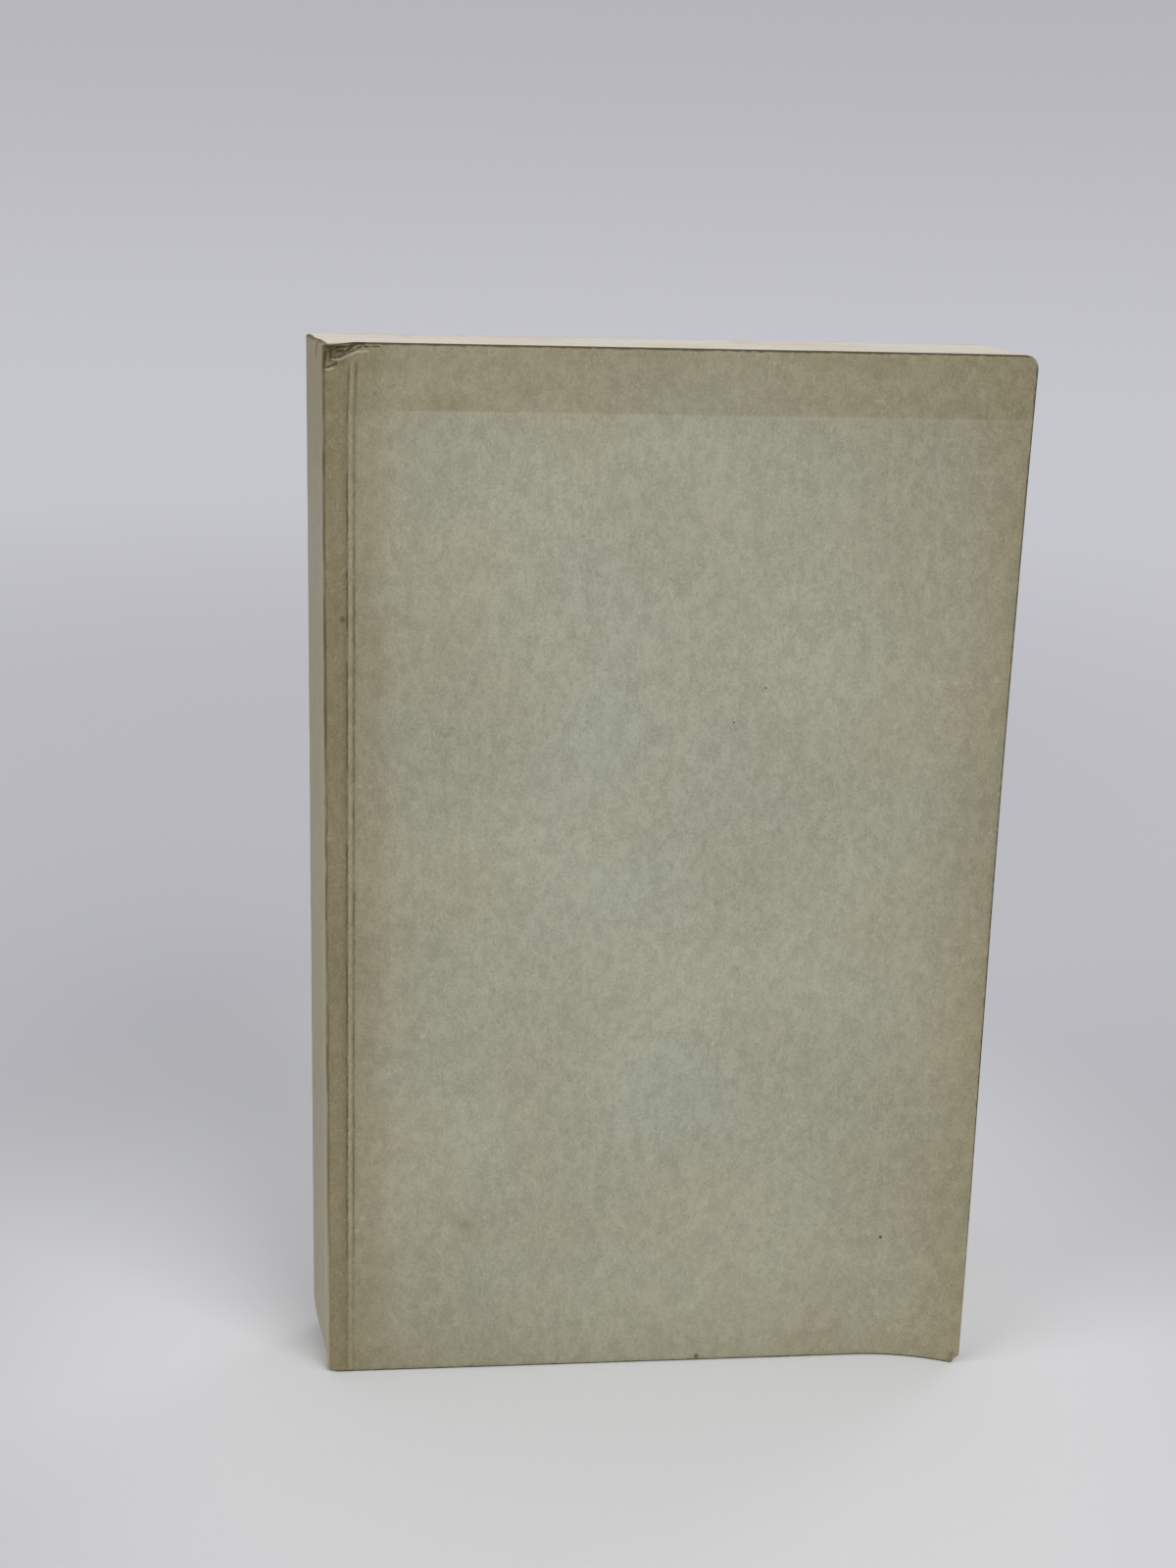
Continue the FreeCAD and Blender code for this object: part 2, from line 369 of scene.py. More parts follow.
def dress(shader, colour, height, depth, roughness):
    """Gives a shader its colour, its roughness and the fine relief of a height map, depth metres deep."""
    feed(shader.inputs["Base Color"], colour)
    shader.inputs["Roughness"].default_value = roughness
    relief = add_node("Bump", height)
    relief.inputs["Strength"].default_value = 1.0
    relief.inputs["Distance"].default_value = depth
    feed(relief.inputs["Height"], height)
    feed(shader.inputs["Normal"], relief.outputs[0])


def page_material():
    """Cream rag paper. Leaf edges are fine lines that fan with the block, dusty along their rims."""
    material, tree, shader = new_material("cream_page_edges")
    position = millimetres(tree)
    across, back, up = split_axes(position)
    thickness = calc("MULTIPLY_ADD", across, opening_slope, spine_thickness / MM)
    share = calc("DIVIDE", back, thickness)
    leaf_count = 200.0
    leaf = times(share, leaf_count)
    lines = join_axes(times(across, 0.02), leaf, times(up, 0.02))
    leaf_tone = cloud(lines, 1.0, 1.0, 3.0)
    bundle_tone = cloud(lines, 7.0, 1.0, 8.0)
    foxing = rise(cloud(position, 5.0, 4.0, 5.0), 0.60, 0.72)
    soiling = cloud(position, 16.0, 3.0, 6.0)
    colour = blend(paint(195, 187, 172), paint(222, 214, 202), rise(leaf_tone, 0.3, 0.58))
    colour = blend(colour, paint(202, 193, 178), rise(bundle_tone, 0.5, 0.68, 0, 0.4))
    colour = blend(colour, paint(192, 178, 152), rise(soiling, 0.45, 0.75, 0, 0.35))
    colour = blend(colour, paint(170, 142, 100), times(foxing, 0.18))
    dress(shader, colour, leaf_tone, 0.06 * MM, roughness=0.9)
    return material


def leaf_face_material():
    """The open face of the first or last leaf: plain cream paper, browned round its margins."""
    material, tree, shader = new_material("cream_leaf")
    position = millimetres(tree)
    across, _, up = split_axes(position)
    grain = cloud(position, 0.6, 4.0, 1.0)
    patch = cloud(position, 30.0, 4.0, 2.0)
    spots = rise(cloud(position, 3.2, 2.0, 9.0), 0.70, 0.76)
    fore_rim = rise(across, cover_width / MM - 16, cover_width / MM)
    tail_rim = rise(up, 12, 0)
    head_rim = rise(up, book_height / MM - 14, book_height / MM)
    rim = larger(fore_rim, larger(tail_rim, head_rim))
    rim = times(rim, rise(patch, 0.2, 0.8, 0.4, 1.0))
    colour = blend(paint(219, 210, 190), paint(209, 198, 174), rise(patch, 0.35, 0.65))
    colour = blend(colour, paint(186, 164, 126), times(rim, 0.7))
    colour = blend(colour, paint(166, 132, 88), times(spots, 0.35))
    dress(shader, colour, grain, 0.03 * MM, roughness=0.88)
    return material


pages.data.materials.append(page_material())
pages.data.materials.append(leaf_face_material())
for polygon in pages.data.polygons:
    flat_face = abs(polygon.normal.y) > 0.8 and polygon.area > MM * MM
    polygon.material_index = 1 if flat_face else 0
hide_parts("text_block")
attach(pages, "book")

# Glue
# Brown animal glue that holds the pages' back to the wrapper. It is closed in on every side, so the
# solid keeps its shape and only gets its own finish.

def glue_material():
    material, tree, shader = new_material("dried_glue")
    position = millimetres(tree)
    streaks = cloud(position, 2.5, 3.0, 4.0, stretch=(1, 1, 3))
    colour = blend(paint(120, 92, 52), paint(158, 128, 82), streaks)
    dress(shader, colour, streaks, 0.1 * MM, roughness=0.45)
    return material


frame["nodes"]["spine_glue"].data.materials.clear()
frame["nodes"]["spine_glue"].data.materials.append(glue_material())

# Wrapper paper
# One sheet of thick, soft felt paper, grey-green where it was kept from the light and toned brown where
# hands and sun reached it. Short curved fibres, light and dark, lie all over it, mostly upright.

def new_group(name, inputs, outputs):
    """An empty node group with named sockets; returns the tree, its inputs by name and its output node."""
    group = bpy.data.node_groups.new(name, "ShaderNodeTree")
    for label, kind in inputs:
        group.interface.new_socket(label, in_out="INPUT", socket_type=kind)
    for label, kind in outputs:
        group.interface.new_socket(label, in_out="OUTPUT", socket_type=kind)
    start = group.nodes.new("NodeGroupInput")
    end = group.nodes.new("NodeGroupOutput")
    return group, start.outputs, end.inputs


def fibre_layer(position, size, seed, keep):
    """Short curved hairs: thin contour lines of a twisted cloud, broken up by a second cloud."""
    bend = cloud(position, size, 1.0, seed, stretch=(1, 1, 2.1), twist=0.4)
    line = rise(calc("ABSOLUTE", minus(bend, 0.5)), 0.021, 0.0)
    piece = rise(cloud(position, size * 0.7, 1.0, seed + 20), keep, keep + 0.1)
    return times(line, piece)


def make_felt_group():
    """Felt surface: unevenness from broad to fine, light and dark hairs in tufts, and their relief."""
    inputs = [("Position", "NodeSocketVector")]
    outputs = [("Shade", "NodeSocketFloat"), ("Light Hairs", "NodeSocketFloat"),
               ("Dark Hairs", "NodeSocketFloat"), ("Height", "NodeSocketFloat")]
    tree, given, result = new_group("felt_surface", inputs, outputs)
    position = given["Position"]
    broad = cloud(position, 40.0, 1.0, 1.0)
    fine = cloud(position, 2.2, 4.0, 3.0, stretch=(1, 1, 1.5), roughness=0.95)
    grain = cloud(position, 0.4, 1.0, 9.0)
    shade = rise(broad, 0.32, 0.68, -0.045, 0.045)
    shade = plus(shade, rise(fine, 0.34, 0.66, -0.105, 0.105))
    shade = plus(shade, rise(grain, 0.3, 0.7, -0.06, 0.06))
    tufts = rise(cloud(position, 8.0, 2.0, 5.0), 0.36, 0.64, 0.5, 1.0)
    light_layers = [fibre_layer(position, size, 11.0 + size, 0.48) for size in (1.9, 1.3, 0.9)]
    dark_layers = [fibre_layer(position, size, 15.0 + size, 0.52) for size in (1.7, 1.1)]
    light = times(strongest(*light_layers), tufts)
    dark = times(strongest(*dark_layers), tufts)
    height = calc("MULTIPLY_ADD", light, 0.6, fine)
    height = calc("MULTIPLY_ADD", dark, -0.4, height)
    feed(result["Shade"], shade)
    feed(result["Light Hairs"], light)
    feed(result["Dark Hairs"], dark)
    feed(result["Height"], height)
    return tree


def strongest(*values):
    """The largest of several masks."""
    result = values[0]
    for value in values[1:]:
        result = larger(result, value)
    return result


def use_group(group, **values):
    """Places a group and feeds its inputs; an underscore in a name stands for a space."""
    node = add_node("Group", *values.values())
    node.node_tree = group
    for name, value in values.items():
        feed(node.inputs[name.replace("_", " ")], value)
    return node.outputs


def closed_place(tree):
    """Where a point of the paper lies in the closed book, in millimetres: the finish moves with a cover."""
    node = tree.nodes.new("ShaderNodeAttribute")
    node.attribute_name = "closed_place"
    return node.outputs["Vector"]


def make_dye_group():
    """Colour of the felt: grey-green paper, browned by Tone and tinted blue-green by Cool."""
    inputs = [("Position", "NodeSocketVector"), ("Tone", "NodeSocketFloat"), ("Cool", "NodeSocketFloat")]
    outputs = [("Color", "NodeSocketColor"), ("Height", "NodeSocketFloat")]
    tree, given, result = new_group("felt_dye", inputs, outputs)
    position = given["Position"]
    felt = use_group(felt_group, Position=position)
    drift = rise(cloud(position, 26.0, 1.0, 31.0), 0.34, 0.66)
    colour = blend(paint(158, 159, 141), paint(160, 158, 138), drift)
    colour = stain(colour, (150, 157, 147), given["Cool"], 0.3)
    uneven = rise(cloud(position, 4.0, 4.0, 32.0, roughness=0.7), 0.3, 0.7, 0.94, 1.06)
    colour = blend(colour, paint(132, 122, 92), times(given["Tone"], uneven))
    shaded = tree.nodes.new("ShaderNodeVectorMath")
    shaded.operation = "SCALE"
    feed(shaded.inputs[0], colour)
    feed(shaded.inputs["Scale"], plus(felt["Shade"], 1.0))
    light_hairs = times(felt["Light Hairs"], 0.22)
    dark_hairs = times(felt["Dark Hairs"], 0.22)
    colour = blend(shaded.outputs[0], paint(196, 192, 172), light_hairs)
    colour = blend(colour, paint(100, 94, 74), dark_hairs)
    feed(result["Color"], colour)
    feed(result["Height"], felt["Height"])
    return tree


felt_relief = 0.05 * MM
felt_roughness = 0.92
first_crease, crease_middle, second_crease = 3.5, 4.1, 4.7
crease_lean = 0.0032
crease_turn = 0.35
turn_start, turn_end = 176, 188
felt_group = make_felt_group()
dye_group = make_dye_group()


def near_spot(across, up, spot, size, softness=1.0):
    """1 near a spot on the cover, 0 from size millimetres on."""
    distance = distance_of(minus(across, spot[0]), minus(up, spot[1]))
    return rise(distance, size, size * (1 - softness))


def fall_off(distance, strength, reach):
    """Strength at distance 0, fading away over about reach millimetres."""
    return times(calc("EXPONENT", times(distance, -1 / reach)), strength)


def together(*amounts):
    """Joins several partial coverings of the same surface into one."""
    left = 1.0
    for amount in amounts:
        left = times(left, minus(1.0, amount))
    return minus(1.0, left)


def edge_tone(across, up, wander, width, height):
    """Browning that creeps in from the four sides of a cover and lies over the folded-in head margin."""
    from_fore = minus(width, plus(across, wander))
    from_fold = plus(across, times(wander, 0.6))
    from_tail = plus(up, wander)
    from_head = minus(height, up)
    below_band = larger(minus(from_head, 11.0), 0.0)
    return together(
        fall_off(larger(from_fore, 0.0), 0.72, 15.0),
        fall_off(larger(from_fold, 0.0), 0.55, 17.0),
        rise(from_fold, 13.0, 7.0, 0.0, 0.38),
        fall_off(larger(from_tail, 0.0), 0.42, 18.0),
        rise(up, 6.0, 5.2, 0.0, 0.06),
        fall_off(below_band, 0.18, 9.0),
        rise(from_head, 11.3, 10.6, 0.0, 0.38),
        fall_off(from_head, 0.24, 3.5),
    )


def rubbed_and_shaded_rim(across, up, width, height):
    """The thin dark line along a folded edge: partly rubbed dirt, partly painted shade where the rounded
    fold turns from the light.
    """
    size = 0.5
    crooked = wavering(join_axes(across, 0.0, up), 1.5, 3.0, 31.0, 0.5)
    from_edge = smaller(minus(width, across), smaller(up, minus(height, up)))
    return rise(plus(from_edge, crooked), size, size * 0.4)


def make_stroke_group():
    """A thin straight line between two places, made crooked by Waver and soft along its sides."""
    names = ("Across", "Up", "Start Across", "Start Up", "End Across", "End Up", "Width", "Waver")
    tree, given, result = new_group("stroke", [(name, "NodeSocketFloat") for name in names],
                                    [("Mask", "NodeSocketFloat")])
    run = minus(given["End Across"], given["Start Across"])
    climb = minus(given["End Up"], given["Start Up"])
    side = minus(plus(given["Across"], given["Waver"]), given["Start Across"])
    over = minus(plus(given["Up"], given["Waver"]), given["Start Up"])
    square = plus(times(run, run), times(climb, climb))
    dot = plus(times(side, run), times(over, climb))
    share = smaller(larger(calc("DIVIDE", dot, square), 0.0), 1.0)
    off = distance_of(minus(side, times(run, share)), minus(over, times(climb, share)))
    feed(result["Mask"], rise(calc("DIVIDE", off, given["Width"]), 1.15, 0.0))
    return tree


stroke_group = make_stroke_group()


def stroke(across, up, places, width, waver):
    """A crooked line through several places on the cover. Its width may be a number or a mask."""
    parts = []
    for start, end in zip(places, places[1:]):
        part = use_group(stroke_group, Across=across, Up=up, Start_Across=start[0], Start_Up=start[1],
                         End_Across=end[0], End_Up=end[1], Width=width, Waver=waver)
        parts.append(part["Mask"])
    return strongest(*parts)


def from_head_down(height, *places):
    """Places given as across and depth below the head, turned into across and up."""
    return [(across, height - depth) for across, depth in places]


def outside_material(name, face_seed, front):
    """The wrapper's outer side: felt with browned edges, rubbed folds, spots and stains, and painted shade
    and highlights at its creases, folded edges, tear and bent tip.
    """
    material, tree, shader = new_material(name)
    across, _, up = split_axes(closed_place(tree))
    width, height = cover_width / MM, book_height / MM
    if not front:
        across = plus(across, spine_lean / MM)
    flat = join_axes(across, face_seed, up)
    wander = wavering(flat, 16.0, 4.0, 21.0, 9.0)
    fine_waver = wavering(flat, 0.9, 3.0, 22.0, 0.9)

    from_head = minus(height, up)
    tone = edge_tone(across, up, wander, width, height)
    band_stain = rise(cloud(flat, 11.0, 3.0, 23.0, stretch=(1.6, 1, 0.7)), 0.47, 0.62, 0.0, 0.3)
    band_stain = times(band_stain, rise(from_head, 11.1, 10.8))
    tone = together(tone, band_stain, rise(across, crease_middle, first_crease, 0.0, 0.7))

    cool = 0.0
    if front:
        ragged = times(wander, 1.2)
        side, over = plus(across, ragged), minus(up, ragged)
        for spot, size in (((57, 97), 13), ((48, 125), 16), ((64, 55), 18)):
            cool = larger(cool, near_spot(side, over, spot, size))
    dyed = use_group(dye_group, Position=flat, Tone=tone, Cool=cool)
    joint = rise(across, crease_middle, first_crease)
    colour = blend(dyed["Color"], paint(247, 244, 243), joint, "MULTIPLY")

    # Painted highlight: a pale line along the lower edge of the folded-in head margin, where its ridge
    # catches the light.
    band_lip_highlight = rise(up, height - 11.9, height - 11.3)
    band_lip_highlight = times(band_lip_highlight, rise(up, height - 10.9, height - 11.2))
    band_lip_highlight = times(band_lip_highlight, rise(across, 9.0, 16.0, 0.0, 0.1))
    colour = blend(colour, paint(170, 165, 146), band_lip_highlight)

    drift = calc("MULTIPLY_ADD", up, crease_lean, rise(up, turn_start, turn_end, 0.0, crease_turn))
    from_first = minus(plus(across, times(fine_waver, 0.5)), drift)
    crease_top = rise(up, height - 2.6, height - 3.9)
    crease_ends = times(crease_top, rise(up, 6, 45, 0.4, 1.0))
    # Painted shade of the two scored creases: a soft shadow beside each and a dark line in its groove.
    for number, (crease, strength) in enumerate(((first_crease, 0.8), (second_crease, 0.62))):
        worn = cloud(flat, 3.4, 4.0, 25.0 + number, stretch=(1, 1, 1.6), roughness=0.65)
        broken = rise(worn, 0.40, 0.58, 0.28, 1.0)
        line = rise(calc("ABSOLUTE", minus(from_first, crease)), 0.26, 0.04)
        line = times(times(line, broken), crease_ends)
        shadow = rise(calc("ABSOLUTE", minus(from_first, crease - 0.2)), 0.9, 0.1)
        shadow = times(shadow, crease_ends)
        colour = stain(colour, (106, 95, 68), shadow, 0.4 * strength)
        colour = stain(colour, (80, 69, 44), line, strength)
    # Painted highlight on the raised ridge between the creases.
    ridge = rise(calc("ABSOLUTE", minus(from_first, crease_middle)), 0.4, 0.1)
    ridge = times(ridge, rise(cloud(flat, 1.4, 3.0, 28.0), 0.4, 0.65, 0.35, 1.0))
    ridge = times(ridge, crease_ends)
    colour = stain(colour, (172, 164, 136), ridge, 0.42)

    # Dark line along the folded edges: partly rubbed dirt, partly painted shade of the rounded folds.
    rim = rubbed_and_shaded_rim(across, up, width, height)
    colour = stain(colour, (74, 64, 46), rim, 0.88)
    worn = cloud(flat, 4.5, 4.0, 26.0, stretch=(1, 1, 1.8), roughness=0.65)
    fold_break = rise(worn, 0.36, 0.58, 0.3, 1.0)
    fold_line = rise(plus(across, times(fine_waver, 0.15)), 0.6, 0.34)
    fold_line = times(times(fold_line, rise(up, 4, 60, 0.2, 1.0)), fold_break)
    colour = stain(colour, (84, 73, 48), fold_line, 0.85)

    specks = rise(cloud(flat, 0.8, 1.0, 27.0, twist=0.6), 0.80, 0.84)
    colour = stain(colour, (70, 60, 44), specks, 0.45)
    if front:
        crooked_across = plus(across, fine_waver)
        dots = (((104.0, 25.1), 0.42), ((71.2, 125.8), 0.25), ((76.5, 132.0), 0.22))
        marks = strongest(
            *(near_spot(across, up, spot, size, 0.6) for spot, size in dots),
            times(near_spot(across, up, (69.7, 0.9), 0.75, 0.7), 0.8),
            times(near_spot(crooked_across, up, (3.2, 143.8), 0.9, 0.9), 0.6),
        )
        colour = stain(colour, (48, 42, 32), marks, 0.85)
        ragged_across = calc("MULTIPLY_ADD", fine_waver, 2.0, across)
        smudge = near_spot(ragged_across, up, (25.4, 29.9), 2.0)
        colour = stain(colour, (116, 106, 80), smudge, 0.4)
        slanted_up = calc("MULTIPLY_ADD", across, 0.45, up)
        torn = near_spot(across, slanted_up, (2.2, height - 0.4), 2.6, 0.6)
        colour = stain(colour, (94, 83, 60), torn, 0.75)
        crooked = times(fine_waver, 0.7)
        swollen = rise(cloud(flat, 0.9, 2.0, 81.0), 0.3, 0.7, 0.6, 1.4)
        crack_shadow_strength = rise(cloud(flat, 0.6, 2.0, 82.0), 0.3, 0.6, 0.55, 1.0)
        thick, medium, thin = (times(swollen, size) for size in (0.42, 0.31, 0.22))
        head = ((0.3, 0.7), (1.5, 0.75), (2.9, 0.75), (4.1, 0.65), (5.3, 0.3), (6.7, 0.15))
        second = ((1.2, 1.5), (2.1, 1.2), (2.7, 1.5), (3.9, 1.5), (4.9, 0.9))
        branch = ((6.2, 0.3), (7.3, 0.65), (9.3, 0.6))
        slant = ((1.2, 2.75), (2.6, 2.55), (4.1, 2.0), (5.3, 1.3), (6.4, 0.6))
        beside_fold = ((0.6, 1.5), (0.45, 2.4), (0.55, 3.7))
        loop = ((1.2, 3.1), (2.2, 3.2), (2.3, 3.6), (1.4, 3.9), (0.6, 4.2))
        lifted = ((1.6, 3.0), (3.1, 2.75), (4.3, 2.1), (5.5, 1.6), (7.2, 1.4))
        link = ((1.5, 1.3), (1.25, 2.7))
        lifted_end = ((0.6, 4.5), (1.9, 4.25))

        def crack(places, width):
            return stroke(across, up, from_head_down(height, *places), width, crooked)

        # Painted shadow in the gaps along the tear lines, where the torn layer steps down.
        crack_shadows = strongest(
            crack(head, thick), crack(second, medium), crack(branch, thin), crack(slant, medium),
            crack(beside_fold, thick), crack(link, medium), crack(loop, medium),
        )
        crack_shadows = times(crack_shadows, crack_shadow_strength)
        colour = stain(colour, (50, 40, 25), crack_shadows, 0.92)
        # Painted highlight along the lifted lip of the tear.
        lip = strongest(crack(lifted, medium), crack(lifted_end, thin))
        colour = stain(colour, (194, 185, 158), lip, 0.5)
        # Painted shadow in the crease where the tail tip at the fore-edge is bent back.
        tip = stroke(across, up, ((width - 1.9, 2.0), (width - 2.1, 0.6)), 0.8, crooked)
        colour = stain(colour, (92, 84, 62), tip, 0.45)
    dress(shader, colour, dyed["Height"], felt_relief, roughness=felt_roughness)
    return material


def inside_material():
    """The wrapper's inner side, kept from the light: cooler and cleaner, faintly browned in clouds."""
    material, tree, shader = new_material("felt_inside")
    across, _, up = split_axes(closed_place(tree))
    flat = join_axes(across, 90.0, up)
    tone = times(rise(cloud(flat, 24.0, 3.0, 41.0), 0.45, 0.75), 0.4)
    dyed = use_group(dye_group, Position=flat, Tone=tone, Cool=0.35)
    dress(shader, dyed["Color"], dyed["Height"], felt_relief, roughness=felt_roughness)
    return material


def cut_edge_material():
    """The sheet's cut or torn edge: paler fibres from inside the felt, grubby in places."""
    material, tree, shader = new_material("felt_cut_edge")
    position = closed_place(tree)
    fuzz = cloud(position, 0.5, 3.0, 51.0)
    colour = blend(paint(176, 168, 144), paint(128, 118, 94), rise(fuzz, 0.35, 0.65))
    dress(shader, colour, fuzz, 0.08 * MM, roughness=0.95)
    return material


felt_inside = inside_material()
felt_cut_edge = cut_edge_material()

# Front cover
# The front part of the wrapper: a strip glued to the pages, two scored creases, then the free cover,
# whose head, tail and fore-edge are folded in with mitred corners. Its lower fore corner curls out.

paper_thickness = 0.36 * MM
layer_step = 0.42 * MM
turn_in = 12.0 * MM
fold_bend = layer_step / 2
bend_length = math.pi * fold_bend
sheet_top = book_height - fold_bend - paper_thickness / 2
sheet_tail = fold_bend + paper_thickness / 2
fore_fold = cover_width - fold_bend - paper_thickness / 2


def cut_sheet(name, left, right, spacing):
    """A flat sheet of the wrapper, its flaps past the head and tail included, as a fine grid."""
    low = sheet_tail - turn_in
    high = sheet_top + turn_in
    columns = round((right - left) / spacing)
    rows = round((high - low) / spacing)
    bpy.ops.object.select_all(action="DESELECT")
    bpy.ops.mesh.primitive_grid_add(x_subdivisions=columns, y_subdivisions=rows, size=1)
    sheet = bpy.context.object
    sheet.name = name
    bpy.ops.transform.resize(value=(right - left, high - low, 1))
    bpy.ops.transform.translate(value=((left + right) / 2, (low + high) / 2, 0))
    bpy.ops.object.transform_apply(location=True, rotation=True, scale=True)
    return sheet


def score_folds(sheet, with_fore_edge):
    """Scores the bends of the head, tail and fore-edge so that each fold can turn in small steps."""
    steps = [bend_length * number / 4 for number in range(5)]
    for step in steps:
        score(sheet, (0, sheet_top + step, 0), (0, 1, 0))
        score(sheet, (0, sheet_tail - step, 0), (0, 1, 0))
        if with_fore_edge:
            score(sheet, (fore_fold + step, 0, 0), (1, 0, 0))


def refine(sheet, inside, cuts):
    """Divides the faces whose middle lies inside a region of the flat sheet."""
    select_only(sheet)
    bpy.context.tool_settings.mesh_select_mode = (False, False, True)
    for element in (*sheet.data.vertices, *sheet.data.edges):
        element.select = False
    for polygon in sheet.data.polygons:
        polygon.select = inside(polygon.center.x, polygon.center.y)
    bpy.ops.object.mode_set(mode="EDIT")
    bpy.ops.mesh.subdivide(number_cuts=cuts)
    bpy.ops.object.mode_set(mode="OBJECT")


def turn_over(beyond):
    """Where a point lies that is beyond a fold: how far out from the fold and how deep behind the face."""
    if beyond <= 0:
        return beyond, 0.0
    if beyond < bend_length:
        angle = beyond / fold_bend
        return fold_bend * math.sin(angle), fold_bend * (1 - math.cos(angle))
    return bend_length - beyond, layer_step


def fold_sheet_point(along, up, fore_edge):
    """A point of the flat sheet after its margins are folded in: along, up and depth behind the face."""
    if fore_edge:
        out, depth = turn_over(along - fore_fold)
        along = fore_fold + out
    else:
        depth = 0.0
    if up > (sheet_top + sheet_tail) / 2:
        out, depth_up = turn_over(up - sheet_top)
        up = sheet_top + out
    else:
        out, depth_up = turn_over(sheet_tail - up)
        up = sheet_tail - out
    return along, up, max(depth, depth_up)


def round_corner(along, up, corner, reach):
    """Squeezes a square corner region into a quarter disc, so that the worn corner is round."""
    from_x = (along - corner[0]) / reach
    from_z = (up - corner[1]) / reach
    side_x, side_z = abs(from_x), abs(from_z)
    shrink_x = math.sqrt(max(0.0, 1 - min(1.0, side_z) ** 2 / 2))
    shrink_z = math.sqrt(max(0.0, 1 - min(1.0, side_x) ** 2 / 2))
    return corner[0] + from_x * shrink_x * reach, corner[1] + from_z * shrink_z * reach


def gentle_waves(along, up, seed):
    """Slow unevenness of an old sheet, in metres."""
    broad = noise.noise(Vector((along / (38 * MM), up / (46 * MM), seed)))
    small = noise.noise(Vector((along / (9 * MM), up / (12 * MM), seed + 7)))
    return (0.09 * broad + 0.025 * small) * MM


def crease_drift(up):
    """The creases lean away from the fold towards the head, and turn outwards at their top end."""
    head_bend = smooth((up / MM - turn_start) / (turn_end - turn_start))
    return crease_lean * up / MM + crease_turn * head_bend


def crease_relief(along, up):
    """Outward relief of the two scored lines and of the ridge between them."""
    from_first = along / MM - first_crease - crease_drift(up)

    def groove(middle, width):
        return math.exp(-(((from_first - middle) / width) ** 2))

    waver = 0.75 + 0.35 * noise.noise(Vector((0.0, up / (4 * MM), 3.0)))
    ends = smooth((book_height - up) / MM / 4 - 0.6) * (0.4 + 0.6 * smooth(up / (45 * MM)))
    relief = 0.07 * groove(0.6, 0.35) - 0.20 * groove(0.0, 0.22) - 0.15 * groove(1.2, 0.22)
    return relief * waver * ends * MM


def torn_relief(along, up):
    """Outward relief of the torn patch at the head of the joint: sunken above a lifted, ragged lip."""
    x, z = along / MM, (book_height - up) / MM
    ragged = 0.25 * noise.noise(Vector((x * 1.3, z * 1.3, 5.0)))
    lip = 2.95 - 0.10 * x - 0.055 * x * x
    above = lip - z + ragged
    if x > 6.8 or z > 5.2:
        return 0.0
    crumple = 0.14 * noise.noise(Vector((x * 2.2, z * 2.2, 9.0)))
    sides = smooth((x - 0.3) / 0.8) * smooth((6.8 - x) / 2)
    if above > 0:
        return (-0.26 * min(1.0, above / 0.25) + crumple) * sides * MM
    lip_height = 0.12 + 0.06 * noise.noise(Vector((x * 2.0, 0.0, 2.0)))
    return lip_height * math.exp(-((above / 0.4) ** 2)) * sides * MM


def bent_tip(along, up):
    """The tail tip at the fore-edge is bent back along a short, slightly hollow line. Returns the new place
    and how deep the bent part lies."""
    wide, high, hollow = 1.5 * MM, 1.9 * MM, 0.25 * MM
    length = math.hypot(wide, high)
    beyond = ((along - cover_width + wide) * high - up * wide) / length
    middle = 1 - min(1.0, abs((along - cover_width + wide) * wide + up * high) / length**2 * 2 - 1) ** 2
    beyond += hollow * max(0.0, middle)
    if beyond <= 0 or up > 3 * MM:
        return along, up, 0.0
    return along - beyond * high / length, up + beyond * wide / length, 0.55 * beyond


def worn_tail_corner(from_fold, up):
    """Lifts points near the front fold's tail, where the corner is rubbed round."""
    reach = 2.6 * MM
    if from_fold < reach and up < 4 * MM:
        lift = 1.3 * MM * (1 - math.sqrt(1 - (1 - from_fold / reach) ** 2))
        up += lift * (1 - max(0.0, up) / (4 * MM))
    return up


def worn_fold_corner(from_fold, up):
    """Moves points near the front fold's two ends: the tail rubbed round, the torn head sunk a little."""
    up = worn_tail_corner(from_fold, up)
    sunk = 0.6 * MM * smooth(1 - from_fold / (6 * MM))
    return up - sunk * max(0.0, 1 - max(0.0, book_height - up) / (2 * MM))


def curl_out(x, depth, height):
    """Bends a point beyond the start of the curl along an arc towards the reader."""
    past = x - curl_start
    rise_here = max(0.02 * MM, curl_rise(height))
    radius = curl_length**2 / (2 * rise_here)
    angle = past / radius
    across = curl_start + (radius + depth) * math.sin(angle)
    return across, (radius + depth) * math.cos(angle) - radius


def shape_front(sheet):
    """Folds, rounds, creases, tears and curls the front cover's flat sheet into place."""
    rounding = 2.6 * MM
    head_corner = (cover_width - rounding, book_height - rounding)
    for vertex in sheet.data.vertices:
        along, up, depth = fold_sheet_point(vertex.co.x, vertex.co.y, True)
        if along > head_corner[0] and up > head_corner[1]:
            along, up = round_corner(along, up, head_corner, rounding)
        up = worn_fold_corner(along, up)
        outward = gentle_waves(along, up, 1.0) * min(1.0, along / (6 * MM))
        outward += crease_relief(along, up)
        if depth == 0:
            outward += torn_relief(along, up)
        along, up, tucked = bent_tip(along, up)
        outward -= tucked
        depth_here = depth + paper_thickness / 2 - outward
        if along > curl_start:
            along, depth_here = curl_out(along, depth_here, up)
        vertex.co = (fold_x + along, front_face_y + depth_here, up)


